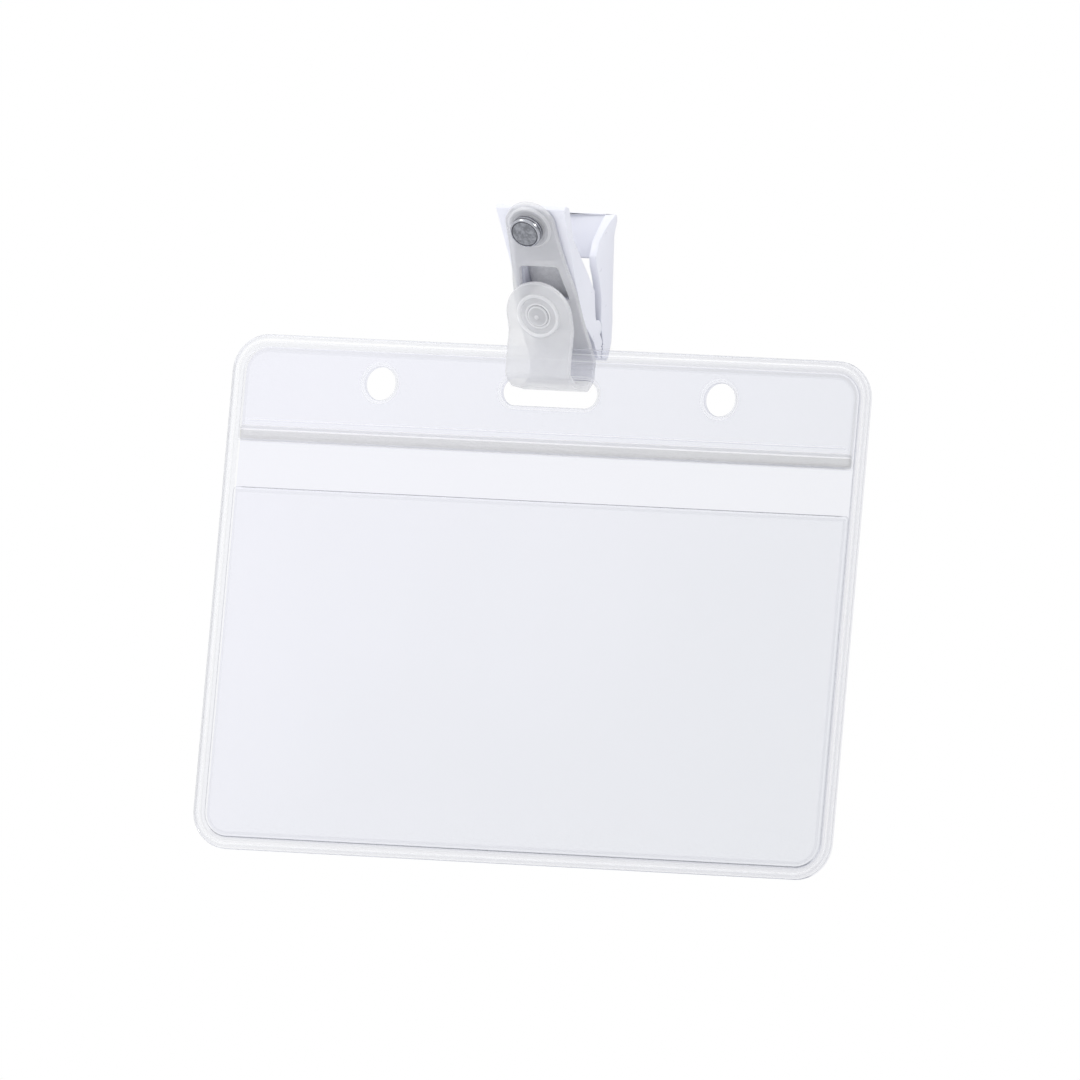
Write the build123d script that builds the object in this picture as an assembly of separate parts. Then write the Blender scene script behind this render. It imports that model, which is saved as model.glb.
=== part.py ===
from build123d import *
import math
import os

# A clear horizontal card holder that hangs on a snap strap from a pinch clip.
# Millimetres. Every profile is drawn in holder coordinates: X across the holder,
# F forward (the front of the object) and Z up from the middle of the holder's top
# edge. Y is -F. At the end everything moves so that the origin is in the grip
# between the jaw tips.

# ---- holder ----
POUCH_W = 100.0
POUCH_H = 74.0
CORNER_R = 5.4
SHEET_T = 0.42            # each PVC sheet
BACK_F = -0.5             # rear face of the back sheet
PANEL_F = 0.20            # rear face of the front panels
RIM_W = 1.7               # welded rim
RIM_F = 0.62              # front face of the welded rim
HEADER_H = 15.5           # header strip, from the top edge
POCKET_TOP = 22.0         # open edge of the pocket, from the top edge
HOLE_D = 4.8
HOLE_SPACING = 53.3
HOLE_DROP = 6.3
SLOT_L = 15.0
SLOT_H = 4.0
SLOT_DROP = 6.5

# ---- clip, side profile ----
LEAN = 38.0               # front lever's face, leaning forward at its top
LEVER_TOP = (12.35, 18.42)  # F, Z of the front lever's outer top corner
PLATE_T = 1.6
FLANGE_T = 1.15
HALF_TOP = 5.5            # half width at the lever ends
HALF_JAW = 4.75           # half width from the fulcrum down
FULCRUM = (-4.0, 3.5)
KNUCKLE_R = 1.15
KNUCKLE_GAP = 0.08

# ---- strap ----
STRAP_T = 0.9
STRAP_HALF = 5.0
STRAP_LIFT = 0.3          # strap's back off the lever's face
TAB_R = 3.8
RIVET_Z = 16.65           # where the rivet's axis meets the lever's face
SNAP = (5.62, 4.30)       # F, Z of the snap's centre on the flap's back
SNAP_LEAN = 30.0          # flap's lean at the snap
STUD_R = 1.35
SNAP_HOLE_R = 1.65
FLAP_HINGE = (0.0, -5.5)

# ---- rivet ----
HEAD_R = 2.3
HEAD_H = 1.5
SHANK_R = 1.2

# ---- spring ----
SPRING_T = 0.4
SPRING_HALF = 2.3
SPRING_WIDE = 3.6

GRIP = (-6.15, 0.4)       # F, Z of the grip between the jaw tips

SIN, COS, TAN = (f(math.radians(LEAN)) for f in (math.sin, math.cos, math.tan))


def to_yz(points):
    return [(-f, z) for f, z in points]


def side(points, half):
    """A side profile given as (F, Z) points, extruded to both sides of the middle."""
    face = Plane.YZ * make_face(Polyline(*to_yz(points), close=True))
    return extrude(face, amount=half, both=True)


def rod(centre, radius, half):
    """A round bar along X about a point given as (F, Z)."""
    return Plane.YZ.offset(-half) * Pos(-centre[0], centre[1]) * extrude(Circle(radius), amount=2 * half)


def front_prism(points):
    """A front silhouette given as (X, Z) points, extruded right through in Y."""
    face = Plane.XZ * make_face(Polyline(*points, close=True))
    return extrude(face, amount=60, both=True)


# ---------------------------------------------------------------- holder sheets
def outline(inset=0.0):
    """The holder's rounded outline as a sketch on the XZ plane, inset all round."""
    return Pos(0, -POUCH_H / 2) * RectangleRounded(
        POUCH_W - 2 * inset, POUCH_H - 2 * inset, CORNER_R - inset
    )


def slab(sketch, f_low, f_high):
    """A sketch drawn in (X, Z), as a slab between two F values."""
    # Plane.XZ has its normal along -Y, which is +F.
    return extrude(Plane.XZ.offset(f_low) * sketch, amount=f_high - f_low)


def band(z_low, z_high):
    return Pos(0, (z_low + z_high) / 2) * Rectangle(POUCH_W + 10, z_high - z_low)


def header_cuts():
    cuts = Pos(0, -SLOT_DROP) * SlotOverall(SLOT_L, SLOT_H)
    for x in (-HOLE_SPACING / 2, HOLE_SPACING / 2):
        cuts += Pos(x, -HOLE_DROP) * Circle(HOLE_D / 2)
    return cuts


back_sheet = slab(outline() - header_cuts(), BACK_F, BACK_F + SHEET_T)


def front_panel(zone):
    """A front sheet's panel, inside the welded rim."""
    return slab(outline(RIM_W) & zone, PANEL_F, PANEL_F + SHEET_T)


header_sheet = front_panel(band(-HEADER_H, 5)) - slab(header_cuts(), -3, 3)
pocket_sheet = front_panel(band(-POUCH_H - 5, -POCKET_TOP))
# the weld runs all round: a flat rim on the back sheet and a ledge under the panels' edges
floor = BACK_F + SHEET_T
weld_rim = slab(outline() - outline(RIM_W), floor, RIM_F) + slab(
    outline(RIM_W) - outline(RIM_W + 0.5), floor, PANEL_F
)

# ---------------------------------------------------------------- clip
ft, zt = LEVER_TOP


def lever_f(z):
    """F of the front lever's leaning face at a height."""
    return ft - (zt - z) * TAN


LEVER = Plane(
    origin=(0, -lever_f(RIVET_Z), RIVET_Z), x_dir=(1, 0, 0), z_dir=(0, -COS, -SIN)
)  # local x across, y up the lever, z out of its face; origin on the rivet's axis


def silhouette(half_top, half_jaw, z_top, z_wide, z_low):
    return [
        (-half_jaw, z_low), (half_jaw, z_low), (half_jaw, z_wide),
        (half_top, z_top), (-half_top, z_top), (-half_jaw, z_wide),
    ]


inner_top = (ft - PLATE_T * COS, zt + PLATE_T * SIN)
front_side = [
    LEVER_TOP,
    (lever_f(3.6), 3.6),
    (-3.05, 1.3),
    (-4.5, -0.3),
    (-4.9, -0.7),
    (-6.0, -0.7),
    (-5.75, 1.9),
    FULCRUM,
    (-2.85, 5.0),
    (-2.3, 6.6),
    (-1.75, 8.6),
    (1.3, 10.75),
    (4.8, 12.9),
    (7.85, 14.95),
    (ft - PLATE_T * COS - 0.55 * SIN, zt + PLATE_T * SIN - 0.55 * COS),
    (ft - 0.75 * COS + 0.25 * SIN, zt + 0.75 * SIN + 0.25 * COS),
]
outer = side(front_side, 12) & front_prism(silhouette(HALF_TOP, HALF_JAW, 20.5, 9.0, -6))
front_void = [
    (ft - PLATE_T * COS + 6 * SIN, zt + PLATE_T * SIN + 6 * COS),
    (lever_f(3.9) - PLATE_T / COS, 3.9),
    (-4.0, 2.3),
    (-9.0, 2.3),
    (-9.0, 30.0),
]
front_inside = side(front_void, 12) & front_prism(
    silhouette(HALF_TOP - FLANGE_T, HALF_JAW - FLANGE_T, 20.5, 9.0, -6)
)
front_lever = outer - front_inside
front_lever += rod(FULCRUM, KNUCKLE_R, HALF_JAW) - side(
    [(-20, -20), (20, -20), (20, 30), (-20, 30)], HALF_JAW - FLANGE_T
)
# window behind the strap's own window, and the rivet's hole
front_lever -= LEVER * Pos(0, 0, -2) * extrude(make_face(
    Polyline((2.85, -6.3), (-2.85, -6.3), (-3.6, -13.2), (3.6, -13.2), close=True)), amount=3)
front_lever -= LEVER * Pos(0, 0, -1) * Cylinder(SHANK_R, 6)
# grip teeth across the front jaw's parting face
for k in range(3):
    z = -0.3 + 0.7 * k
    f = -6.0 + (z + 0.7) * (6.0 - 5.75) / 2.6
    front_lever -= side([(f - 0.2, z - 0.22), (f + 0.3, z), (f - 0.2, z + 0.22)], 12)

rear_side = [
    (-5.55, 19.7),
    (-8.7, 5.0),
    (-8.9, 2.0),
    (-8.35, -0.1),
    (-7.8, -0.7),
    (-6.22, -0.7),
    (-6.02, 1.9),
    (-5.2, 3.5),
    (-4.75, 4.85),
    (-4.35, 7.5),
    (-3.6, 9.0),
    (-2.6, 10.6),
    (-1.4, 12.0),
    (-0.8, 13.4),
    (-1.2, 15.6),
    (-3.2, 18.4),
    (-4.0, 19.4),
    (-4.6, 19.95),
    (-5.2, 20.0),
]
rear_outer = side(rear_side, 12) & front_prism(
    [
        (-HALF_JAW, -6), (HALF_JAW, -6), (HALF_JAW, 8.0), (5.05, 17.2), (HALF_TOP, 19.2),
        (HALF_TOP, 21), (-HALF_TOP, 21), (-HALF_TOP, 19.2), (-5.05, 17.2), (-HALF_JAW, 8.0),
    ]
)
rear_void = [
    (-5.55 + 1.45, 19.7 + 3),
    (-8.7 + PLATE_T, 5.0),
    (-8.9 + PLATE_T, 1.9),
    (4.0, 1.9),
    (4.0, 22.7),
]
rear_inside = side(rear_void, 12) & front_prism(
    silhouette(HALF_TOP - FLANGE_T - 0.3, HALF_JAW - FLANGE_T, 20.5, 9.0, -6)
)
rear_lever = rear_outer - rear_inside
rear_lever -= rod(FULCRUM, KNUCKLE_R + KNUCKLE_GAP, 12)
rear_lever -= Pos(0, 7.5, 11.35) * Box(5.8, 6, 4.7)   # window
for k in range(3):
    z = 0.05 + 0.7 * k
    f = -6.22 + (z + 0.7) * (6.22 - 6.02) / 2.6
    rear_lever -= side([(f + 0.2, z - 0.22), (f - 0.3, z), (f + 0.2, z + 0.22)], 12)

# ---------------------------------------------------------------- spring
# a bent strip: round at the bottom, arms splayed against the two levers' inner faces
spring_path = [(4.2, 12.2), (0.35, 7.7), (-1.9, 4.9), (-4.9, 4.9), (-6.22, 7.4), (-5.8, 9.6)]
with BuildPart() as spring_part:
    with BuildSketch(Plane.YZ) as spring_sketch:
        with BuildLine() as spring_line:
            FilletPolyline(*to_yz(spring_path), radius=1.5)
            offset(amount=SPRING_T / 2, side=Side.BOTH)
        make_face()
    extrude(amount=SPRING_WIDE, both=True)
# the front arm is wider than the bend and the rear arm
clip_spring = spring_part.part & (
    side([(-20, -10), (20, -10), (20, 30), (-20, 30)], SPRING_HALF)
    + side([(-0.9, -10), (20, -10), (20, 30), (-0.9, 30)], SPRING_WIDE)
)

# ---------------------------------------------------------------- strap
rear_f = STRAP_LIFT / COS     # strap's back in front of the lever's face, along F
s_sin, s_cos = math.sin(math.radians(SNAP_LEAN)), math.cos(math.radians(SNAP_LEAN))
snap_out = (SNAP[0] + STRAP_T * s_cos, SNAP[1] - STRAP_T * s_sin)
SNAP_PLANE = Plane(
    origin=(0, -SNAP[0], SNAP[1]), x_dir=(1, 0, 0), z_dir=(0, -s_cos, -s_sin)
)  # local y up the flap, z out of it; origin on the flap's back at the snap


def along(start, d):
    """A point up the flap's slope from another."""
    return (start[0] + d * s_sin, start[1] + d * s_cos)


outer_path = [
    along(snap_out, 5.0),                      # flap's tip
    along(snap_out, -2.2),
    (5.4, -2.2),
    (5.15, -4.9),
    (2.6, -5.95),
    (-1.9, -5.95),
    (-3.8, -4.3),
    (-3.85, -1.2),
    (lever_f(4.6) + rear_f, 4.6),
    (lever_f(19.2) + rear_f, 19.2),            # tab's end
]
with BuildPart() as strap_part:
    with BuildSketch(Plane.YZ) as strap_sketch:
        with BuildLine() as strap_line:
            FilletPolyline(*to_yz(outer_path), radius=1.15)
            offset(amount=STRAP_T, side=Side.RIGHT, closed=True)
        make_face()
    extrude(amount=STRAP_HALF, both=True)
whole_strap = strap_part.part

# the two halves meet at the bottom of the loop, in the slot
hf, hz = FLAP_HINGE


def front_zone(f_low):
    return side(
        [
            (f_low, -12), (20, -12), (20, 9.2), (lever_f(9.2) + 1.85 / COS, 9.2),
            (lever_f(6.0) + 2.1 / COS, 6.0), (3.2, 2.5), (1.6, 0.0), (1.2, -3.0), (f_low, -3.0),
        ],
        12,
    )


strap_flap = (whole_strap & front_zone(hf)) + rod(FLAP_HINGE, STRAP_T / 2, STRAP_HALF)
strap_band = whole_strap - front_zone(hf - 0.6)


def disc(radius, z_low, z_high, plane=LEVER):
    """A round disc on the rivet's axis, or on the snap's."""
    return plane * Pos(0, 0, (z_low + z_high) / 2) * Cylinder(radius, z_high - z_low)


front_z = STRAP_LIFT + STRAP_T
tab_plan = Circle(TAB_R) + make_face(
    Polyline(
        (TAB_R, 0), (4.3, -7.0), (STRAP_HALF - 0.1, -11.5), (STRAP_HALF + 0.5, -15.5), (STRAP_HALF + 0.5, -60),
        (-STRAP_HALF - 0.5, -60), (-STRAP_HALF - 0.5, -15.5), (-STRAP_HALF + 0.1, -11.5), (-4.3, -7.0), (-TAB_R, 0),
        close=True,
    )
)
strap_band &= LEVER * extrude(tab_plan, amount=60, both=True)
strap_band -= LEVER * Pos(0, 0, -2) * extrude(make_face(
    Polyline((2.95, -6.6), (-2.95, -6.6), (-3.87, -12.4), (3.87, -12.4), close=True)), amount=4)
strap_band += disc(3.2, front_z - 0.2, front_z + 0.4)
strap_band -= disc(SHANK_R + 0.08, -3, 6)
# the snap's raised boss stands on the band and carries the stud
boss = disc(3.1, -3.2, -0.15, SNAP_PLANE)
behind_band = side(
    [(-20, -3.5), (-3.4, -3.5), (lever_f(4.6) + rear_f + 0.6, 4.6), (lever_f(12) + rear_f + 0.6, 12), (-20, 12)], 6
)
strap_band += boss - behind_band
strap_band += disc(STUD_R, -0.4, STRAP_T + 0.25, SNAP_PLANE)
strap_band += SNAP_PLANE * Pos(0, 0, STRAP_T + 0.425) * Cone(STUD_R, 0.45, 0.35)

flap_plan = Circle(STRAP_HALF) + Pos(0, -20) * Rectangle(2 * STRAP_HALF + 1, 40)
strap_flap &= SNAP_PLANE * extrude(flap_plan, amount=60, both=True)
strap_flap += disc(3.3, STRAP_T - 0.2, STRAP_T + 0.3, SNAP_PLANE) - disc(2.75, 0, 6, SNAP_PLANE)
strap_flap -= disc(SNAP_HOLE_R, -1.5, 6, SNAP_PLANE)

# ---------------------------------------------------------------- rivet
head_z = front_z + 0.4 + 0.05
rivet = (
    disc(HEAD_R, head_z, head_z + HEAD_H)
    + disc(SHANK_R, -PLATE_T - 0.4, head_z + 0.1)
    + disc(1.7, -PLATE_T - 0.55, -PLATE_T - 0.05)
)
rivet = fillet(rivet.edges().filter_by(GeomType.CIRCLE).group_by(SortBy.RADIUS)[-1], 0.12)
front_lever -= disc(SHANK_R + 0.03, -6, 6)

# ---------------------------------------------------------------- write
NODES = {
    "pouch_back_sheet": back_sheet,
    "pouch_header_sheet": header_sheet,
    "pouch_pocket_sheet": pocket_sheet,
    "pouch_weld_rim": weld_rim,
    "front_lever": front_lever,
    "rear_lever": rear_lever,
    "clip_spring": clip_spring,
    "strap_band": strap_band,
    "strap_flap": strap_flap,
    "rivet": rivet,
}
to_grip = Pos(0, GRIP[0], -GRIP[1])
os.makedirs("parts", exist_ok=True)
for name, shape in NODES.items():
    solids = shape.solids()
    placed = [to_grip * s for s in solids]
    export_step(placed[0] if len(placed) == 1 else Compound(children=placed), f"parts/{name}.step")
    print(name, len(placed), round(sum(s.volume for s in placed), 2))
print("swivel point", 0, round(-lever_f(RIVET_Z) + GRIP[0], 4), round(RIVET_Z - GRIP[1], 4), "axis", 0, round(-COS, 5), round(-SIN, 5))
print("fulcrum", round(-FULCRUM[0] + GRIP[0], 4), round(FULCRUM[1] - GRIP[1], 4))
print("flap hinge", round(-FLAP_HINGE[0] + GRIP[0], 4), round(FLAP_HINGE[1] - GRIP[1], 4))
parts = (back_sheet, header_sheet, pocket_sheet, weld_rim)
mid = sum(s.volume * s.center(CenterOf.MASS).Y for s in parts) / sum(s.volume for s in parts)
print("holder hinge y", round(mid + GRIP[0], 4), "z", round(-(SLOT_DROP - SLOT_H / 2) - GRIP[1], 4))
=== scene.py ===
import bpy
import bmesh
import math
import numpy as np
from mathutils import Matrix, Vector, geometry


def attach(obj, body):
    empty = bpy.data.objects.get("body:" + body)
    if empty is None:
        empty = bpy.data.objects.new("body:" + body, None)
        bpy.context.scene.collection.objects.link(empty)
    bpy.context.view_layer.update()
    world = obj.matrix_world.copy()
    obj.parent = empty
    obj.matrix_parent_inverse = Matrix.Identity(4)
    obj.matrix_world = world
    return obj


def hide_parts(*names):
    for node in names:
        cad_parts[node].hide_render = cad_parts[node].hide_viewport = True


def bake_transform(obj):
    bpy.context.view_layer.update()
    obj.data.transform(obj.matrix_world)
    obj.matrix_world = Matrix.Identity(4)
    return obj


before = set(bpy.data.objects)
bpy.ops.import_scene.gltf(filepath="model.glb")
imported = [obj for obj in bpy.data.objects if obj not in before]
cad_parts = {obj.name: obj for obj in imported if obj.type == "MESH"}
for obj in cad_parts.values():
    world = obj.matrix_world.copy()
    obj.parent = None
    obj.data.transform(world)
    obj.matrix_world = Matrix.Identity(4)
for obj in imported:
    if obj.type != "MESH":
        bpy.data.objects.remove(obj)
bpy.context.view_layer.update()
scene = bpy.context.scene
MM = 0.001

# ------------------------------------------------------------------ camera
AZ, EL, ROLL = (math.radians(v) for v in (24.87, -4.76, 5.07))
toward = Vector((math.sin(AZ) * math.cos(EL), -math.cos(AZ) * math.cos(EL), math.sin(EL)))
right0 = Vector((math.cos(AZ), math.sin(AZ), 0))
up0 = toward.cross(right0)
cam_right = right0 * math.cos(ROLL) + up0 * math.sin(ROLL)
cam_up = up0 * math.cos(ROLL) - right0 * math.sin(ROLL)
centre = Vector((0, -6.40, -37.4)) + cam_right * 1.32 + cam_up * 9.35
cam_data = bpy.data.cameras.new("camera")
cam = bpy.data.objects.new("camera", cam_data)
scene.collection.objects.link(cam)
cam_data.sensor_width = 36.0
cam_data.lens = 36.0 * 5000.0 / 153.70
cam_data.clip_start, cam_data.clip_end = 0.5, 60.0
turn = Matrix((cam_right, cam_up, toward)).transposed().to_4x4()
cam.matrix_world = Matrix.Translation((centre + toward * 5000.0) * MM) @ turn
scene.camera = cam
scene.view_settings.view_transform = "Standard"
scene.view_settings.look = "None"
scene.cycles.transparent_max_bounces = 48
scene.cycles.max_bounces = 14


# ------------------------------------------------------------------ node helpers
class Nodes:
    """A short way to write a shader tree."""

    def __init__(self, tree):
        self.tree = tree
        self.tree.nodes.clear()

    def add(self, kind, ins=None, **props):
        n = self.tree.nodes.new(kind)
        for k, v in props.items():
            setattr(n, k, v)
        for k, v in (ins or {}).items():
            if isinstance(v, bpy.types.NodeSocket):
                self.tree.links.new(v, n.inputs[k])
            else:
                n.inputs[k].default_value = v
        return n

    def math(self, op, a, b=0.0, c=None, clamp=False):
        ins = {0: a, 1: b}
        if c is not None:
            ins[2] = c
        return self.add("ShaderNodeMath", ins, operation=op, use_clamp=clamp).outputs[0]

    def smooth(self, x, low, high, to_low=0.0, to_high=1.0):
        return self.add(
            "ShaderNodeMapRange",
            {0: x, 1: low, 2: high, 3: to_low, 4: to_high},
            interpolation_type="SMOOTHSTEP",
        ).outputs[0]

    def mix_colour(self, f, a, b):
        n = self.add("ShaderNodeMix", data_type="RGBA")
        for k, v in ((0, f), (6, a), (7, b)):
            if isinstance(v, bpy.types.NodeSocket):
                self.tree.links.new(v, n.inputs[k])
            else:
                n.inputs[k].default_value = v
        return n.outputs[2]

    def noise(self, where, scale, detail=2.0, rough=0.5):
        return self.add(
            "ShaderNodeTexNoise", {"Vector": where, "Scale": scale, "Detail": detail, "Roughness": rough}
        ).outputs[0]

    def place(self):
        """Position in the object's own frame, in metres, and its X, Y and Z."""
        p = self.add("ShaderNodeTexCoord").outputs["Object"]
        s = self.add("ShaderNodeSeparateXYZ", {0: p})
        return p, s.outputs[0], s.outputs[1], s.outputs[2]

    def bump(self, height, strength, distance, normal=None):
        ins = {"Height": height, "Strength": strength, "Distance": distance}
        if normal is not None:
            ins["Normal"] = normal
        return self.add("ShaderNodeBump", ins).outputs[0]

    def mix(self, f, a, b):
        return self.add("ShaderNodeMixShader", {0: f, 1: a, 2: b}).outputs[0]

    def out(self, shader):
        self.add("ShaderNodeOutputMaterial", {0: shader})


def material(name):
    m = bpy.data.materials.new(name)
    m.use_nodes = True
    return m, Nodes(m.node_tree)


def grey(v, b=None, r=None):
    return (v if r is None else r, v, v if b is None else b, 1.0)


# ------------------------------------------------------------------ world and lights
world = bpy.data.worlds.new("studio")
world.use_nodes = True
scene.world = world
w = Nodes(world.node_tree)
direction = w.add("ShaderNodeTexCoord").outputs["Generated"]
side_dot = w.add("ShaderNodeVectorMath", {0: direction, 1: (-0.52, -0.42, 0.74)}, operation="DOT_PRODUCT").outputs["Value"]
soft = w.smooth(side_dot, -0.95, 0.9, 0.36, 1.02)
sky = w.mix_colour(soft, grey(0.0), grey(1.0, 1.03, 0.99))
room = w.add("ShaderNodeBackground", {"Color": sky, "Strength": 1.0}).outputs[0]
paper = w.add("ShaderNodeBackground", {"Color": grey(1.0), "Strength": 1.0}).outputs[0]
seen = w.add("ShaderNodeLightPath").outputs["Is Camera Ray"]
w.add("ShaderNodeOutputWorld", {0: w.mix(seen, room, paper)})


def area_light(name, where, at, size, power, colour=(1, 1, 1)):
    data = bpy.data.lights.new(name, "AREA")
    data.shape = "RECTANGLE"
    data.size, data.size_y = size
    data.energy = power
    data.color = colour
    o = bpy.data.objects.new(name, data)
    scene.collection.objects.link(o)
    o.location = Vector(where)
    o.rotation_mode = "QUATERNION"
    o.rotation_quaternion = (Vector(where) - Vector(at)).to_track_quat("Z", "Y")
    return o


area_light("key_softbox", (-0.75, -1.15, 0.85), (0, 0, -0.02), (0.7, 0.5), 4.2)
area_light("rim_softbox", (0.75, 0.25, 0.75), (0, 0, 0), (0.5, 0.16), 3.0)

floor_m, f = material("pale_floor")
p, px, py, pz = f.place()
f.out(
    f.add(
        "ShaderNodeBsdfPrincipled",
        {
            "Base Color": f.mix_colour(f.noise(p, 6.0, 4.0), grey(0.86, 0.87), grey(0.90, 0.905)),
            "Roughness": 0.8,
            "Normal": f.bump(f.noise(p, 900.0, 3.0), 0.1, 0.0005),
        },
    ).outputs[0]
)
bm = bmesh.new()
bmesh.ops.create_grid(bm, x_segments=8, y_segments=8, size=9.0)
floor_mesh = bpy.data.meshes.new("studio_floor")
bm.to_mesh(floor_mesh)
bm.free()
floor_o = bpy.data.objects.new("studio_floor", floor_mesh)
floor_o.location.z = -0.5
floor_mesh.materials.append(floor_m)
scene.collection.objects.link(floor_o)


# ------------------------------------------------------------------ materials
def clear_vinyl(name, tint, haze, haze_colour, gloss=1.0, painted_shade_far=(0.975, 0.975, 0.968), rough=0.09, pale=0.0):
    """Clear soft PVC: what is behind shows through with a faint blue tint, with a little haze, a soft gloss and
    painted shade that greys it towards the lower right.
    """
    m, n = material(name)
    p, x, y, z = n.place()
    # painted shade: greyer towards the lower right, with broad soft clouds of random tone
    slope = n.math("ADD", n.math("MULTIPLY", x, 0.72), n.math("MULTIPLY", z, -0.62))
    cloud = n.noise(p, 26.0, 2.0, 0.5)
    where = n.math("ADD", slope, n.math("MULTIPLY_ADD", cloud, 0.03, -0.015))
    t = n.smooth(where, -0.05, 0.085)
    deep = tuple(c * k for c, k in zip(tint[:3], painted_shade_far)) + (1.0,)
    # the painted shade of the edge lines is paler where they run up the sides of the holder
    sides = n.math("MULTIPLY", n.smooth(n.math("ABSOLUTE", x), 0.0466, 0.0476), pale)
    colour = n.mix_colour(sides, n.mix_colour(t, tint, deep), (0.965, 0.967, 0.978, 1))
    through = n.add("ShaderNodeBsdfTransparent", {"Color": colour}).outputs[0]
    fine = n.noise(p, 2600.0, 2.0, 0.6)
    ripple = n.noise(p, 55.0, 2.0, 0.45)
    normal = n.bump(ripple, 0.35, 0.0022, n.bump(fine, 0.08, 0.00004))
    milk = n.add(
        "ShaderNodeBsdfPrincipled",
        {
            "Base Color": n.mix_colour(n.noise(p, 240.0, 3.0), haze_colour, tuple(c * 0.93 for c in haze_colour[:3]) + (1.0,)),
            "Roughness": n.math("MULTIPLY_ADD", fine, 0.18, 0.22),
            "Normal": normal,
        },
    ).outputs[0]
    amount = n.math("MULTIPLY_ADD", n.noise(p, 120.0, 3.0, 0.6), haze * 0.5, haze * 0.75, clamp=True)
    amount = n.math("MULTIPLY", amount, n.math("SUBTRACT", 1.0, sides))
    body = n.mix(amount, through, milk)
    shine = n.add(
        "ShaderNodeBsdfGlossy",
        {"Color": grey(0.96, 0.98), "Roughness": n.math("MULTIPLY_ADD", fine, 0.06, rough), "Normal": normal},
    ).outputs[0]
    fresnel = n.add("ShaderNodeFresnel", {"IOR": 1.5, "Normal": normal}).outputs[0]
    n.out(n.mix(n.math("MULTIPLY", fresnel, gloss, clamp=True), body, shine))
    return m


FILM = clear_vinyl("clear_vinyl_sheet", (0.992, 0.992, 0.998, 1), 0.008, (0.80, 0.81, 0.90, 1), gloss=0.30, painted_shade_far=(0.972, 0.975, 0.972))
TINTED = clear_vinyl("clear_vinyl_back", (0.932, 0.935, 0.982, 1), 0.014, (0.78, 0.79, 0.92, 1), gloss=0.32, painted_shade_far=(0.965, 0.968, 0.952))
WELD = clear_vinyl("clear_vinyl_weld", (0.995, 0.996, 0.999, 1), 0.015, (0.86, 0.87, 0.91, 1), gloss=0.4, painted_shade_far=(0.955, 0.955, 0.96), rough=0.16)
BEAD = clear_vinyl("clear_vinyl_bead", (0.938, 0.935, 0.925, 1), 0.08, (0.66, 0.66, 0.65, 1), gloss=0.6, painted_shade_far=(0.955, 0.955, 0.955), rough=0.2)
# the next two copies are painted shade: grey and dark vinyl on the edge walls that stands in for the refraction
# darkening the sheets' cut edges
EDGE = clear_vinyl("clear_vinyl_edge_painted_shade", (0.957, 0.96, 0.972, 1), 0.035, (0.68, 0.69, 0.73, 1), gloss=0.3, painted_shade_far=(0.86, 0.86, 0.875), rough=0.16, pale=0.8)
DARK = clear_vinyl("clear_vinyl_cut_edge_painted_shade", (0.66, 0.67, 0.71, 1), 0.30, (0.26, 0.265, 0.29, 1), gloss=0.3, painted_shade_far=(0.70, 0.70, 0.70), rough=0.2, pale=0.85)
BRIGHT = clear_vinyl("clear_vinyl_lit_edge", (0.995, 0.995, 1.0, 1), 0.40, (1.0, 1.0, 1.0, 1), gloss=0.4, painted_shade_far=(1.0, 1.0, 1.0), rough=0.2)
# the next two copies are painted shade and painted shadow: soft grey bands inside the rim, below the header's top and
# above the pocket's edge
SHADE = clear_vinyl("clear_vinyl_painted_shade_line", (0.955, 0.957, 0.965, 1), 0.04, (0.70, 0.71, 0.74, 1), gloss=0.4, painted_shade_far=(0.94, 0.94, 0.945), rough=0.2)
SHADOW = clear_vinyl("clear_vinyl_painted_shadow_line", (0.955, 0.955, 0.958, 1), 0.05, (0.60, 0.61, 0.63, 1), gloss=0.4, painted_shade_far=(0.85, 0.85, 0.85), rough=0.2)


def frosted(name, cover, colour, rough=0.36):
    """Frosted translucent vinyl."""
    m, n = material(name)
    p, x, y, z = n.place()
    cloud = n.noise(p, 210.0, 3.0, 0.55)
    grain = n.noise(p, 5200.0, 2.0, 0.6)
    pale = tuple(min(1.0, c * 1.05) for c in colour[:3]) + (1.0,)
    deep = tuple(c * 0.94 for c in colour[:3]) + (1.0,)
    s = n.add(
        "ShaderNodeBsdfPrincipled",
        {
            "Base Color": n.mix_colour(cloud, deep, pale),
            "Roughness": n.math("MULTIPLY_ADD", grain, 0.16, rough - 0.08),
            "Normal": n.bump(cloud, 0.25, 0.0006, n.bump(grain, 0.12, 0.00005)),
            "Alpha": n.math("MULTIPLY_ADD", cloud, 0.08, cover - 0.04, clamp=True),
            "Sheen Weight": 0.0,
        },
    )
    n.out(s.outputs[0])
    return m


STRAP = frosted("frosted_vinyl", 0.45, (0.83, 0.83, 0.84, 1))
# the edge and ring copies of the frosted vinyl are painted highlight: lighter and more opaque on the strap's edges,
# the snap and boss rings and the stud's tip
STRAP_EDGE_HIGHLIGHT = frosted("frosted_vinyl_edge_painted_highlight", 0.50, (0.90, 0.90, 0.91, 1), 0.28)
STRAP_RING_HIGHLIGHT = frosted("frosted_vinyl_ring_painted_highlight", 0.58, (0.96, 0.96, 0.97, 1), 0.24)


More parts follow.
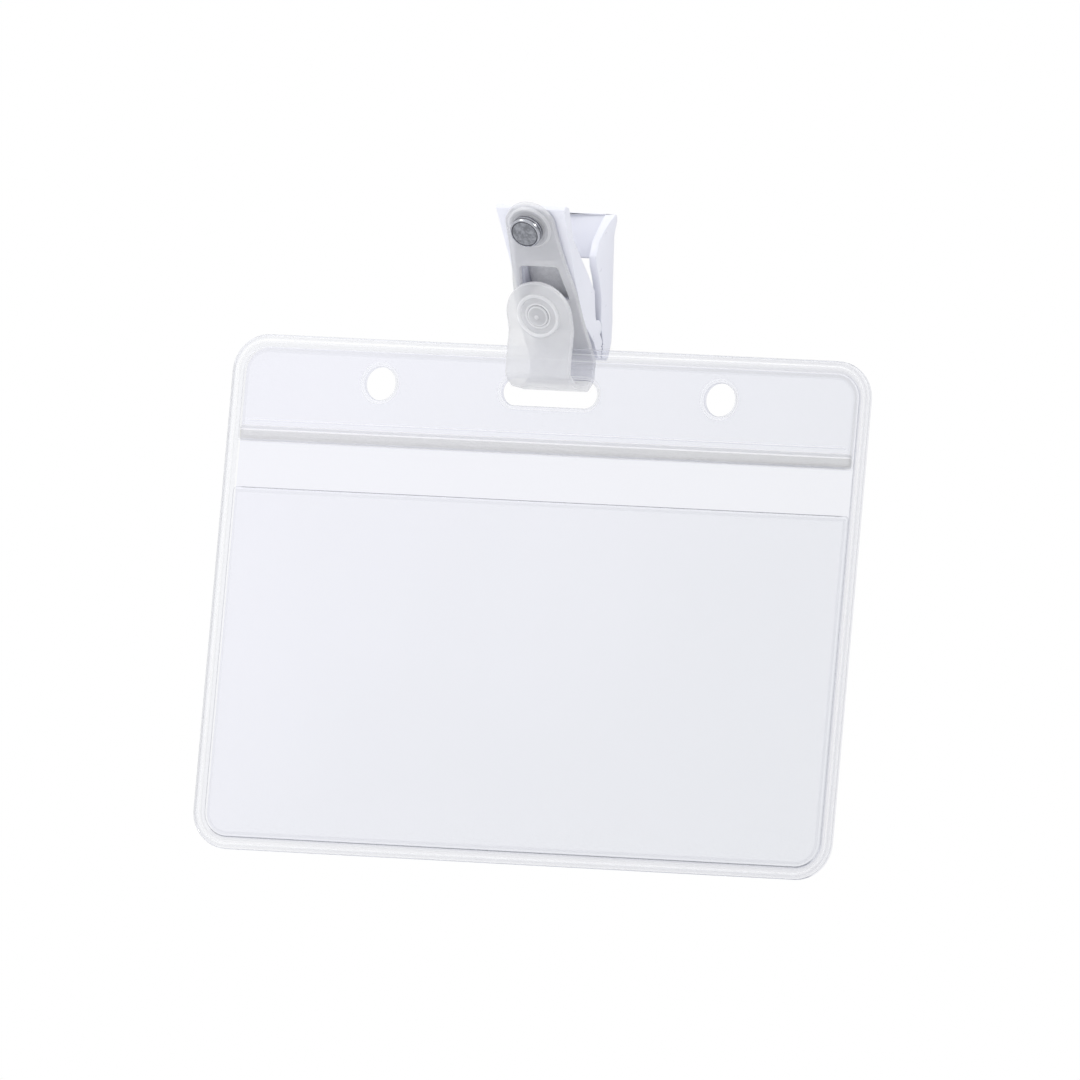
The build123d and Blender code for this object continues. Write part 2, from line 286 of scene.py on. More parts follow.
def moulded(name, colour, rough=0.3):
    """Moulded opaque white plastic with faint flow marks, a fine surface grain and painted shade darkening its
    hollows.
    """
    m, n = material(name)
    p, x, y, z = n.place()
    flow = n.noise(p, 160.0, 3.0, 0.5)
    grain = n.noise(p, 3800.0, 2.0, 0.6)
    cool = tuple(c * k for c, k in zip(colour[:3], (0.975, 0.978, 0.99))) + (1.0,)
    # painted shade: the base colour darkens by ambient occlusion inside the hollow of the moulding, where light dies
    # away
    occlusion_shade = n.add("ShaderNodeAmbientOcclusion", {"Distance": 0.009})
    occlusion_shade.samples = 8
    deep = tuple(c * k for c, k in zip(colour[:3], (0.60, 0.61, 0.65))) + (1.0,)
    base = n.mix_colour(n.smooth(occlusion_shade.outputs[1], 0.12, 0.62), deep, n.mix_colour(flow, cool, colour))
    n.out(
        n.add(
            "ShaderNodeBsdfPrincipled",
            {
                "Base Color": base,
                "Roughness": n.math("MULTIPLY_ADD", n.noise(p, 700.0, 3.0), 0.14, rough - 0.07),
                "Normal": n.bump(flow, 0.15, 0.0003, n.bump(grain, 0.06, 0.00004)),
                "Subsurface Weight": 0.12,
                "Subsurface Radius": (1.0, 1.0, 1.0),
                "Subsurface Scale": 0.0008,
            },
        ).outputs[0]
    )
    return m


WHITE = moulded("white_moulded_plastic", (0.89, 0.895, 0.95, 1))


def steel(name, colour, rough=0.36, mottle=1.0, metal=1.0):
    """Plated steel with a satin, mottled surface."""
    m, n = material(name)
    p, x, y, z = n.place()
    blot = n.noise(p, 1500.0, 5.0, 0.68)
    pits = n.add("ShaderNodeTexVoronoi", {"Vector": p, "Scale": 2600.0}, feature="SMOOTH_F1").outputs[0]
    shade = n.smooth(blot, 0.36, 0.66)
    dark = tuple(c * (1 - 0.42 * mottle) for c in colour[:3]) + (1.0,)
    height = n.math("MULTIPLY_ADD", pits, 0.35, n.math("MULTIPLY", blot, 1.0))
    n.out(
        n.add(
            "ShaderNodeBsdfPrincipled",
            {
                "Base Color": n.mix_colour(shade, dark, colour),
                "Metallic": metal,
                "Roughness": n.math("MULTIPLY_ADD", shade, -0.12, rough + 0.06),
                "Normal": n.bump(height, 0.35 * mottle, 0.00012),
            },
        ).outputs[0]
    )
    return m


STEEL = steel("plated_steel", (0.37, 0.38, 0.405, 1))
# a lighter copy of the steel for the rivet's side wall is painted highlight, and a near-black copy in its grooves is
# painted shade
STEEL_SIDE_HIGHLIGHT = steel("plated_steel_side_painted_highlight", (0.52, 0.53, 0.56, 1), 0.2, 0.35)
STEEL_GROOVE_SHADE = steel("steel_groove_painted_shade", (0.10, 0.10, 0.115, 1), 0.4, 0.5)
SPRING = steel("spring_steel", (0.90, 0.90, 0.91, 1), 0.48, 0.3, 0.2)


# ------------------------------------------------------------------ mesh building
def inside(poly, pts):
    """For each point, whether it is inside the polygon."""
    poly, pts = np.asarray(poly, float), np.asarray(pts, float)
    x, y = pts[:, 0], pts[:, 1]
    r = np.zeros(len(pts), bool)
    x1, y1 = poly[:, 0], poly[:, 1]
    x2, y2 = np.roll(x1, -1), np.roll(y1, -1)
    for a, b, c, d in zip(x1, y1, x2, y2):
        if b == d:
            continue
        hit = (b > y) != (d > y)
        r ^= hit & (x < (c - a) * (y - b) / (d - b) + a)
    return r


def away(poly, pts, gap):
    """For each point, whether it is at least gap from the polygon's line."""
    poly, pts = np.asarray(poly, float), np.asarray(pts, float)
    a, b = poly, np.roll(poly, -1, axis=0)
    ok = np.ones(len(pts), bool)
    for p0, p1 in zip(a, b):
        d = p1 - p0
        t = np.clip(((pts - p0) @ d) / max(d @ d, 1e-12), 0, 1)
        ok &= np.linalg.norm(pts - (p0 + t[:, None] * d), axis=1) >= gap
    return ok


def offset(poly, d):
    """A closed outline moved by d along its left-hand normals, point by point."""
    p = np.asarray(poly, float)
    a, b = p - np.roll(p, 1, axis=0), np.roll(p, -1, axis=0) - p
    a /= np.linalg.norm(a, axis=1)[:, None]
    b /= np.linalg.norm(b, axis=1)[:, None]
    na, nb = np.stack([-a[:, 1], a[:, 0]], 1), np.stack([-b[:, 1], b[:, 0]], 1)
    n = na + nb
    n /= np.maximum(np.linalg.norm(n, axis=1), 1e-9)[:, None]
    k = np.maximum((n * na).sum(1), 0.5)
    return p + n * (d / k)[:, None]


class Shell:
    """A closed thin body drawn in (u, v) with a height h, then carried to its place by a mapping."""

    def __init__(self):
        self.v, self.f, self.m = [], [], []

    def loop(self, pts, h):
        start = len(self.v)
        hs = h if np.ndim(h) else [h] * len(pts)
        self.v += [(float(a), float(b), float(c)) for (a, b), c in zip(pts, hs)]
        return list(range(start, len(self.v)))

    def bridge(self, a, b, mat):
        n = len(a)
        for i in range(n):
            j = (i + 1) % n
            self.f.append((a[i], a[j], b[j], b[i]))
            self.m.append(mat)

    def fill(self, outer, holes, extra, h, mat):
        loops = [outer] + holes
        index = [i for l in loops for i in l]
        coords = [self.v[i][:2] for i in index]
        edges, k = [], 0
        for l in loops:
            edges += [(k + i, k + (i + 1) % len(l)) for i in range(len(l))]
            k += len(l)
        po = [self.v[i][:2] for i in outer]
        ph = [[self.v[i][:2] for i in l] for l in holes]
        if len(extra):
            extra = np.asarray(extra, float)
            keep = inside(po, extra) & away(po, extra, 0.12)
            for q in ph:
                keep &= ~inside(q, extra) & away(q, extra, 0.12)
            extra = extra[keep]
            first = len(self.v)
            self.v += [(float(a), float(b), float(h)) for a, b in extra]
            index += list(range(first, len(self.v)))
            coords += [tuple(e) for e in extra]
        vs, es, fs, ov, oe, of = geometry.delaunay_2d_cdt([Vector(c) for c in coords], edges, [], 0, 1e-6)
        vs = [tuple(v) for v in vs]
        mid = np.array([np.mean([vs[i] for i in t], axis=0) for t in fs])
        keep = inside(po, mid)
        for q in ph:
            keep &= ~inside(q, mid)
        for t, ok in zip(fs, keep):
            if ok:
                ids = [index[ov[i][0]] for i in t]
                if len(set(ids)) == 3:
                    self.f.append(tuple(ids))
                    self.m.append(mat)

    def object(self, name, mats, place, sharp=32.0):
        mesh = bpy.data.meshes.new(name)
        mesh.from_pydata([tuple(c * MM for c in place(*p)) for p in self.v], [], self.f)
        for m in mats:
            mesh.materials.append(m)
        mesh.polygons.foreach_set("material_index", self.m)
        bm = bmesh.new()
        bm.from_mesh(mesh)
        bmesh.ops.remove_doubles(bm, verts=bm.verts, dist=1e-7)
        bmesh.ops.recalc_face_normals(bm, faces=bm.faces)
        bm.to_mesh(mesh)
        bm.free()
        mesh.polygons.foreach_set("use_smooth", [True] * len(mesh.polygons))
        mesh.set_sharp_from_angle(angle=math.radians(sharp))
        o = bpy.data.objects.new(name, mesh)
        scene.collection.objects.link(o)
        return o


def plate(name, outline, out_rows, holes, field_h, back_rows, back_h, extra, mats, place, field_mat=0, back_mat=0, sharp=32.0):
    """A sheet with rows of (inset, height, material) on its rim and round each hole, front and back.

    out_rows go from the back edge round to the front field; outline(inset) gives the loop. Each hole is
    (outline, rows) with its rows going from the back edge round to the field."""
    s = Shell()
    previous, first = None, None
    for inset, h, mat in out_rows:
        l = s.loop(outline(inset), h)
        if previous is not None:
            s.bridge(previous, l, mat)
        first = first or l
        previous = l
    front_outer = previous
    back_outer = first
    front_holes, back_holes = [], []
    for ring, rows in holes:
        previous, first = None, None
        for inset, h, mat in rows:
            l = s.loop(ring(inset), h)
            if previous is not None:
                s.bridge(previous, l, mat)
            first = first or l
            previous = l
        front_holes.append(previous)
        back_holes.append(first)
    s.fill(front_outer, front_holes, extra, field_h, field_mat)
    s.fill(back_outer, back_holes, extra, back_h, back_mat)
    return s.object(name, mats, place, sharp)


def ring_body(name, outline, section, mats, place, sharp=32.0):
    """A closed ring: the section's (inset, height, material) rows carried round the outline."""
    s = Shell()
    loops = [s.loop(outline(i), h) for i, h, m in section]
    for k in range(len(loops)):
        s.bridge(loops[k - 1], loops[k], section[k][2])
    return s.object(name, mats, place, sharp)


def lathe(name, rows, mats, place, turns=72, sharp=28.0):
    """A turned body from (radius, height, material) rows; the ends close on the axis."""
    s = Shell()
    previous = None
    ang = np.linspace(0, 2 * math.pi, turns, endpoint=False)
    for r, h, mat in rows:
        l = s.loop([(r * math.cos(a), r * math.sin(a)) for a in ang], h)
        if previous is None:
            s.v.append((0.0, 0.0, float(h)))
            c = len(s.v) - 1
            for i in range(turns):
                s.f.append((l[i], l[(i + 1) % turns], c))
                s.m.append(mat)
        else:
            s.bridge(previous, l, mat)
        previous = l
    s.v.append((0.0, 0.0, float(rows[-1][1])))
    c = len(s.v) - 1
    for i in range(turns):
        s.f.append((previous[i], previous[(i + 1) % turns], c))
        s.m.append(rows[-1][2])
    return s.object(name, mats, place, sharp)


def corner_rect(x0, x1, z0, z1, radii, step=2.0, arc=12):
    """A rectangle with its own radius at each corner (x0z0, x1z0, x1z1, x0z1), as a function of the inset."""

    def at(inset):
        pts = []
        corners = [(x0, z0, 180, radii[0]), (x1, z0, 270, radii[1]), (x1, z1, 0, radii[2]), (x0, z1, 90, radii[3])]
        arcs = []
        for cx, cz, a0, r in corners:
            mx = cx + r if cx == x0 else cx - r
            mz = cz + r if cz == z0 else cz - r
            rr = max(r - inset, 0.02)
            dx = (r - inset) - rr
            sx, sz = (1 if cx == x0 else -1), (1 if cz == z0 else -1)
            ox, oz = mx - sx * dx, mz - sz * dx
            arcs.append([(ox + rr * math.cos(math.radians(a0 + 90 * k / arc)), oz + rr * math.sin(math.radians(a0 + 90 * k / arc))) for k in range(arc + 1)])
        for k in range(4):
            pts += arcs[k]
            e, b = arcs[k][-1], arcs[(k + 1) % 4][0]
            full = (x1 - x0, z1 - z0)[k % 2]
            n = max(2, int(full / step))
            pts += [(e[0] + (b[0] - e[0]) * i / n, e[1] + (b[1] - e[1]) * i / n) for i in range(1, n)]
        return pts

    return at


def circle(cx, cz, r, n=56):
    """A circle whose inset grows it outwards, for a hole."""
    return lambda inset: [
        (cx + (r + inset) * math.cos(2 * math.pi * k / n), cz + (r + inset) * math.sin(2 * math.pi * k / n)) for k in range(n)
    ]


def stadium(cx, cz, length, height, n=20):
    """A slot with round ends, for a hole."""

    def at(inset):
        r, half = height / 2 + inset, (length - height) / 2
        pts = [(cx + half + r * math.cos(math.radians(-90 + 180 * k / n)), cz + r * math.sin(math.radians(-90 + 180 * k / n))) for k in range(n + 1)]
        pts += [(cx + half - 2 * half * k / 8, cz + r) for k in range(1, 8)]
        pts += [(cx - half + r * math.cos(math.radians(90 + 180 * k / n)), cz + r * math.sin(math.radians(90 + 180 * k / n))) for k in range(n + 1)]
        pts += [(cx - half + 2 * half * k / 8, cz - r) for k in range(1, 8)]
        return pts

    return at


def grid(x0, x1, z0, z1, step):
    xs, zs = np.arange(x0, x1, step), np.arange(z0, z1, step)
    return np.array([(x + (0.5 * step if j % 2 else 0), z) for j, z in enumerate(zs) for x in xs])


# ------------------------------------------------------------------ holder
GF, GZ = 6.15, -0.4         # from holder coordinates to the row frame: Y = -F - GF, Z = z + GZ


def wave(x, z):
    """Slow unevenness of the soft sheets, in mm."""
    return 0.10 * math.sin(x / 17.0 + 0.6) * math.sin(z / 23.0 + 1.1) + 0.05 * math.sin(x / 7.3 + z / 11.0)


def front_place(u, v, h):
    edge = min(1.0, max(0.0, (48.5 - abs(u)) / 6.0)) * min(1.0, max(0.0, min(-v - 1.5, 72.5 + v) / 6.0))
    return (u, -(h + max(-0.07, wave(u, v) * 0.8) * edge) - GF, v + GZ)


def flat_place(u, v, h):
    return (u, -h - GF, v + GZ)


W2, HT, RC = 50.0, 74.0, 5.4
whole = corner_rect(-W2, W2, -HT, 0.0, (RC,) * 4)
panel = 1.7
BACK0, BACK1, PANEL0, PANEL1 = -0.5, -0.08, 0.02, 0.36

PVC = [FILM, WELD, BEAD, EDGE, DARK, BRIGHT, TINTED, SHADE, SHADOW]
hole_l, hole_r = circle(-26.65, -6.3, 2.4), circle(26.65, -6.3, 2.4)
slot_o = stadium(0.0, -6.5, 15.0, 4.0)
back_rows_hole = [(0.10, BACK0, 3), (0.0, BACK0 + 0.1, 3), (0.0, BACK1 - 0.1, 3), (0.10, BACK1, 3), (0.55, BACK1, 1), (0.7, BACK1 + 0.05, 1), (0.95, BACK1, 1)]
back = plate(
    "holder_back_sheet", whole,
    [(1.75, BACK0, 1), (0.12, BACK0, 1), (0.0, BACK0 + 0.12, 3), (0.0, BACK1 - 0.05, 3), (0.06, BACK1, 3), (1.75, BACK1, 1)],
    [(hole_l, back_rows_hole), (hole_r, back_rows_hole), (slot_o, back_rows_hole)],
    BACK1, None, BACK0, grid(-48, 48, -72, -1.5, 4.0), PVC, flat_place, 0, 6,
)
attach(back, "pouch")
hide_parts("pouch_back_sheet")

rim = ring_body(
    "holder_weld_rim", whole,
    [
        (1.69, BACK1 + 0.01, 1), (0.04, BACK1 + 0.01, 1), (0.0, 0.04, 3), (0.0, 0.34, 4), (0.04, 0.47, 3), (0.14, 0.57, 5), (0.32, 0.62, 1), (0.58, 0.61, 7),
        (0.74, 0.55, 1), (0.90, 0.60, 5), (1.18, 0.62, 1), (1.40, 0.60, 7), (1.56, 0.52, 3), (1.66, 0.40, 3), (1.69, 0.30, 3),
    ],
    PVC, flat_place,
)
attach(rim, "pouch")
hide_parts("pouch_weld_rim")

# rows in materials 7 and 8 lay bands of painted shade and painted shadow just inside the header's rim
shoulder = [(0.10, PANEL0, 1), (0.01, PANEL0 + 0.08, 1), (0.0, PANEL1 - 0.06, 1), (0.05, PANEL1, 1), (0.14, PANEL1 + 0.03, 5), (0.26, PANEL1 + 0.03, 7), (0.42, PANEL1 + 0.01, 8), (0.68, PANEL1 - 0.02, 8), (0.92, PANEL1 - 0.01, 7), (1.15, PANEL1, 1)]
ring_rows = [(0.09, PANEL0, 3), (0.0, PANEL0 + 0.1, 3), (0.0, PANEL1 - 0.1, 3), (0.07, PANEL1, 3), (0.26, PANEL1, 5), (0.4, PANEL1 + 0.04, 1), (0.58, PANEL1 + 0.04, 5), (0.66, PANEL1 + 0.02, 7), (0.74, PANEL1 + 0.0, 1)]
header_out = corner_rect(-W2 + panel, W2 - panel, -15.5, -panel, (0.7, 0.7, RC - panel, RC - panel))
header = plate(
    "holder_header_strip", header_out, shoulder,
    [(hole_l, ring_rows), (hole_r, ring_rows), (slot_o, ring_rows)],
    PANEL1, None, PANEL0, grid(-46, 46, -14, -3, 2.2), PVC, front_place,
)
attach(header, "pouch")
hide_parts("pouch_header_sheet")

pocket_out = corner_rect(-W2 + panel, W2 - panel, -HT + panel, -22.0, (RC - panel, RC - panel, 0.6, 0.6))
# the pocket's top edge carries a dark line of painted shade, with bands of painted shade inward of it
pocket_rows = [(0.10, PANEL0, 1), (0.01, PANEL0 + 0.06, 1), (0.0, PANEL0 + 0.18, 3), (0.03, PANEL1 - 0.06, 4), (0.14, PANEL1, 4), (0.40, PANEL1, 0), (0.62, PANEL1 + 0.02, 7), (0.80, PANEL1 + 0.03, 7), (0.98, PANEL1, 1), (1.2, PANEL1, 0)]
pocket = plate(
    "holder_pocket_sheet", pocket_out, pocket_rows, [],
    PANEL1, None, PANEL0, grid(-46, 46, -71, -23, 3.2), PVC, front_place,
)
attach(pocket, "pouch")
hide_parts("pouch_pocket_sheet")


def bar(name, z_section, x_half, mats, place, taper=0.6, n=96):
    """A long welded bead across the holder: a section of (z, h, material) carried along X, closed at both ends."""
    s = Shell()
    xs = np.concatenate([[-x_half, -x_half + taper * 0.4, -x_half + taper], np.linspace(-x_half + taper, x_half - taper, n)[1:-1], [x_half - taper, x_half - taper * 0.4, x_half]])
    zc = np.mean([z for z, h, m in z_section])
    h0 = min(h for z, h, m in z_section)
    loops = []
    for x in xs:
        k = min(1.0, (x_half - abs(x)) / taper)
        k = math.sqrt(max(0.0, 1 - (1 - k) ** 2))
        loops.append([len(s.v) + i for i in range(len(z_section))])
        s.v += [(float(x), float(zc + (z - zc) * (0.75 + 0.25 * k)), float(h0 + (h - h0) * (0.15 + 0.85 * k))) for z, h, m in z_section]
    for a, b in zip(loops, loops[1:]):
        for i in range(len(a)):
            j = (i + 1) % len(a)
            s.f.append((a[i], a[j], b[j], b[i]))
            s.m.append(z_section[j][2])
    for l in (loops[0], loops[-1]):
        s.f.append(tuple(l))
        s.m.append(z_section[0][2])
    return s.object(name, mats, place)


# the header's welded lower edge: a fine ridge, then a broad bead that rounds off downwards
bead = bar(
    "holder_header_weld",
    [
        (-15.42, 0.35, 2), (-13.1, 0.35, 2), (-13.1, 0.41, 3), (-13.2, 0.47, 5), (-13.42, 0.48, 1), (-13.52, 0.43, 7), (-13.68, 0.44, 1), (-13.82, 0.51, 5),
        (-14.05, 0.54, 2), (-14.4, 0.55, 2), (-14.75, 0.53, 2), (-15.05, 0.48, 2), (-15.3, 0.42, 3), (-15.4, 0.38, 3),
    ],
    48.0, PVC, front_place,
)
ridge = bar(
    "holder_header_ridge",
    [(-12.52, 0.35, 1), (-12.2, 0.35, 1), (-12.24, 0.38, 7), (-12.36, 0.40, 5), (-12.48, 0.38, 1)],
    47.0, PVC, front_place,
)
for o in (bead, ridge):
    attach(o, "pouch")

# ------------------------------------------------------------------ strap
LEAN = math.radians(38.0)
SIN, COS, TAN = math.sin(LEAN), math.cos(LEAN), math.tan(LEAN)
FT, ZT = 12.35, 18.42


def lever_f(z):
    return FT - (ZT - z) * TAN


RZ = 16.65
LEVER_O = np.array([lever_f(RZ), RZ])
LIFT, STRAP_T, HALF = 0.3, 0.9, 5.0
rear_f = LIFT / COS
SNAP = np.array([5.62, 4.30])
s_sin, s_cos = math.sin(math.radians(30)), math.cos(math.radians(30))
snap_out = SNAP + STRAP_T * np.array([s_cos, -s_sin])
flap_up = np.array([s_sin, s_cos])
route = [
    snap_out + 5.0 * flap_up, snap_out - 2.2 * flap_up, (5.4, -2.2), (5.15, -4.9), (2.6, -5.95), (-1.9, -5.95),
    (-3.8, -4.3), (-3.85, -1.2), (lever_f(4.6) + rear_f, 4.6), (lever_f(19.2) + rear_f, 19.2),
]


def rounded(points, radius, steps=9):
    """The strap's outer line with its corners rounded, as points with their distances along it and the distances round
    its bends.
    """
    pts = [np.array(p, float) for p in points]
    out, tight = [pts[0]], []
    for a, b, c in zip(pts, pts[1:], pts[2:]):
        d1, d2 = (b - a) / np.linalg.norm(b - a), (c - b) / np.linalg.norm(c - b)
        turn_by = math.acos(max(-1, min(1, float(d1 @ d2))))
        cut = radius * math.tan(turn_by / 2)
        left = d1[0] * d2[1] - d1[1] * d2[0] > 0
        n = np.array([-d1[1], d1[0]]) * (1 if left else -1)
        start = b - d1 * cut
        mid = start + n * radius
        tight.append((len(out), len(out) + steps))
        for k in range(steps + 1):
            a_k = turn_by * k / steps * (1 if left else -1)
            r = -n
            out.append(mid + radius * np.array([r[0] * math.cos(a_k) - r[1] * math.sin(a_k), r[0] * math.sin(a_k) + r[1] * math.cos(a_k)]))
    out.append(pts[-1])
    out = np.array(out)
    seg = np.linalg.norm(np.diff(out, axis=0), axis=1)
    dist = np.concatenate([[0], np.cumsum(seg)])
    stops = sorted({round(float(v), 4) for i, j in tight for v in dist[i : j + 1]})
    return out, dist, stops


path, dist, bends = rounded(route, 1.15)
total = float(dist[-1])


def path_at(s, smooth_by=0.12):
    def p(v):
        return np.array([np.interp(v, dist, path[:, 0]), np.interp(v, dist, path[:, 1])])

    a = max(0.0, min(total, s))
    lo_, hi_ = max(0.0, a - smooth_by), min(total, a + smooth_by)
    t = p(hi_) - p(lo_)
    t /= np.linalg.norm(t)
    extra_ = (s - a) * t
    # the loop runs down the front and up the back, so the inside of the loop is to the left
    return p(a) + extra_, np.array([t[1], -t[0]]) * INWARD


INWARD = 1.0
# the loop's inside is towards its middle, at about F 1, Z -2
_p, _n = path_at(float(np.interp(0.5, [0, 1], [bends[0], bends[0]])) + 3.0)
if (np.array([1.0, -2.0]) - _p) @ _n < 0:
    INWARD = -1.0


def strap_place(u, v, h):
    p, n = path_at(v)
    q = p + n * h
    return (u, -q[0] - GF, q[1] + GZ)


rivet_on_rear = LEVER_O + LIFT * np.array([COS, -SIN])
S_RIV = total - float(np.linalg.norm(np.array(route[-1]) - rivet_on_rear))
S_SNAP = 5.0
corner_a, corner_b = np.array(route[6]), np.array(route[7])
S_JOIN = float(dist[np.argmin(np.linalg.norm(path - (corner_a + corner_b) / 2, axis=1))])
mid_back = (corner_a + corner_b) / 2
seg_i = np.argmin(np.linalg.norm(path - corner_a, axis=1))
S_JOIN = float(dist[seg_i]) + 1.7


def strap_half(s):
    y = s - S_RIV
    return float(np.interp(y, [-40, -15.5, -13.5, -11.5, -9.2, -7.0, -4.5, -2.2, 0.0], [5.0, 5.0, 4.98, 4.9, 4.63, 4.3, 4.05, 3.88, 3.8]))


def stations(a, b, step=0.6):
    ss = set(np.round(np.linspace(a, b, max(2, int((b - a) / step))), 4).tolist())
    ss |= {v for v in bends if a < v < b}
    ss = sorted(ss)
    keep = [ss[0]]
    for v in ss[1:]:
        if v - keep[-1] > 0.07:
            keep.append(v)
    return keep


T = STRAP_T
# band: from the join behind the slot up to the tab round the rivet
band_ss = stations(S_JOIN, S_RIV)
tab = [(3.8 * math.cos(math.radians(a)), S_RIV + 3.8 * math.sin(math.radians(a))) for a in np.linspace(0, 180, 33)]
band_loop = [(strap_half(s), s) for s in band_ss] + tab[1:-1] + [(-strap_half(s), s) for s in reversed(band_ss)]
band_loop += [(x, S_JOIN) for x in np.linspace(-HALF, HALF, 12)[1:-1]]


def inset_outline(loop, keep_low=None):
    """Insets an outline drawn anticlockwise, keeping a cut end where it is."""

    def at(d):
        q = offset(loop, d)
        if keep_low is not None:
            base = np.asarray(loop, float)
            flat = np.abs(base[:, 1] - keep_low) < 1e-6
            q[flat, 1] = keep_low
        return [tuple(v) for v in q]

    return at


window_box = corner_rect(-1.0, 1.0, S_RIV - 12.4, S_RIV - 6.6, (0.3,) * 4, step=0.5, arc=5)


def window(d):
    """The band's window, widening downwards."""
    out = []
    for u, v in window_box(d):
        half = 2.95 + 0.92 * (S_RIV - 6.6 - v) / 5.8
        sign = 1.0 if u > 0 else -1.0
        reach = 1.0 - d
        edge = abs(u) / max(reach, 1e-6)
        out.append((sign * edge * (half - d), v))
    return out


window_hole = lambda inset: window(-inset)
side_rows = [(0.16, 0.0, 1), (0.05, 0.05, 1), (0.0, 0.18, 1), (0.0, T - 0.18, 1), (0.05, T - 0.05, 1), (0.16, T, 1), (0.30, T, 0)]
win_rows = [(0.12, 0.0, 1), (0.03, 0.04, 1), (0.0, 0.14, 1), (0.0, T - 0.14, 1), (0.03, T - 0.04, 1), (0.12, T, 1), (0.25, T, 0)]
pad_rows = [
    (0.05, 0.0, 1), (0.0, 0.1, 1), (0.0, T + 0.25, 1), (0.12, T + 0.36, 2), (0.9, T + 0.38, 2), (1.05, T + 0.30, 0), (1.2, T + 0.38, 2),
    (1.72, T + 0.39, 0), (1.84, T + 0.34, 2), (1.92, T + 0.12, 2), (2.02, T + 0.02, 2), (2.2, T, 0),
]
steiner = np.array([(x, s) for s in band_ss[1:] for x in np.arange(-4.6, 4.61, 0.8)] + [(x, S_RIV + y) for y in np.arange(0.5, 3.8, 0.6) for x in np.arange(-3.4, 3.5, 0.7)])
STRAP_MATS = [STRAP, STRAP_EDGE_HIGHLIGHT, STRAP_RING_HIGHLIGHT]
band = plate(
    "strap_upper_band", inset_outline(band_loop, S_JOIN), side_rows,
    [(window_hole, win_rows), (circle(0.0, S_RIV, 1.28, 40), pad_rows)],
    T, None, 0.0, steiner, STRAP_MATS, strap_place,
)
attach(band, "strap")
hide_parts("strap_band")

# flap: from its round tip down the front, through the slot and up to the join
flap_ss = stations(S_SNAP, S_JOIN, 0.55)
tip = [(5.0 * math.cos(math.radians(a)), S_SNAP + 5.0 * math.sin(math.radians(a))) for a in np.linspace(180, 360, 41)]
flap_loop = tip[:-1] + [(HALF, s) for s in flap_ss] + [(x, S_JOIN) for x in np.linspace(HALF, -HALF, 12)[1:-1]] + [(-HALF, s) for s in reversed(flap_ss[1:])]
# here the outer face (h = 0) is the front, so heights below zero stand proud of it
flap_rows = [(0.16, T, 1), (0.05, T - 0.05, 1), (0.0, T - 0.18, 1), (0.0, 0.18, 1), (0.05, 0.05, 1), (0.16, 0.0, 1), (0.32, 0.0, 0)]
snap_rows = [
    (0.06, T, 1), (0.0, T - 0.1, 1), (0.0, 0.0, 1), (0.06, -0.10, 2), (0.30, -0.12, 2), (0.42, -0.02, 0), (0.50, 0.0, 0), (1.02, 0.0, 0),
    (1.10, -0.06, 0), (1.18, -0.24, 2), (1.28, -0.3, 2), (1.52, -0.3, 2), (1.60, -0.25, 2), (1.66, -0.06, 2), (1.74, 0.0, 0),
]
steiner = np.array([(x, s) for s in flap_ss[1:] for x in np.arange(-4.6, 4.61, 0.8)] + [(x, y) for y in np.arange(0.5, 5.0, 0.6) for x in np.arange(-4.5, 4.6, 0.7)])
flap = plate(
    "strap_snap_flap", inset_outline(flap_loop, S_JOIN), flap_rows, [(circle(0.0, S_SNAP, 1.65, 44), snap_rows)],
    0.0, None, T, steiner, STRAP_MATS, strap_place,
)
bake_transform(flap)
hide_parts("strap_flap")


def snap_place(u, v, h):
    q = SNAP + v * flap_up + h * np.array([s_cos, -s_sin])
    return (u, -q[0] - GF, q[1] + GZ)


def lever_place(u, v, h):
    q = LEVER_O + v * np.array([SIN, COS]) + h * np.array([COS, -SIN])
    return (u, -q[0] - GF, q[1] + GZ)


# the stud's rings and pointed tip wear the lighter ring copy: painted highlight
stud = lathe(
    "strap_snap_stud",
    [
        (3.02, -2.72, 0), (3.1, -2.6, 0), (3.1, -0.42, 0), (3.04, -0.26, 1), (2.86, -0.16, 1), (2.2, -0.15, 0), (1.55, -0.15, 0), (1.35, -0.05, 1),
        (1.38, 0.2, 0), (1.40, 0.75, 0), (1.54, 0.95, 2), (1.52, 1.12, 2), (1.34, 1.24, 2), (1.16, 1.28, 0), (0.72, 1.36, 0), (0.34, 1.50, 0), (0.16, 1.60, 2), (0.06, 1.62, 2),
    ],
    STRAP_MATS, snap_place,
)
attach(stud, "strap")

# ------------------------------------------------------------------ rivet
head = T + LIFT + 0.45
rivet_mats = [STEEL, STEEL_SIDE_HIGHLIGHT, STEEL_GROOVE_SHADE]
# the rivet's side wall wears painted highlight and its fine grooves painted shade
rivet = lathe(
    "rivet_domed_head",
    [
        (1.35, -2.12, 0), (1.62, -2.10, 0), (1.7, -2.0, 1), (1.68, -1.78, 1), (1.55, -1.66, 1), (1.2, -1.66, 1), (1.2, head + 0.02, 1),
        (2.16, head + 0.02, 2), (2.26, head + 0.12, 2), (2.29, head + 0.36, 1), (2.26, head + 0.42, 2), (2.26, head + 0.48, 2), (2.3, head + 0.56, 1),
        (2.3, head + 0.86, 1), (2.26, head + 0.93, 2), (2.26, head + 0.99, 2), (2.29, head + 1.06, 1), (2.27, head + 1.26, 1), (2.18, head + 1.40, 1),
        (2.02, head + 1.475, 1), (1.86, head + 1.455, 2), (1.74, head + 1.46, 0), (1.4, head + 1.50, 0), (0.95, head + 1.52, 0), (0.45, head + 1.53, 0), (0.1, head + 1.53, 0),
    ],
    rivet_mats, lever_place, 96, 24.0,
)
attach(rivet, "clip_front")
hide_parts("rivet")


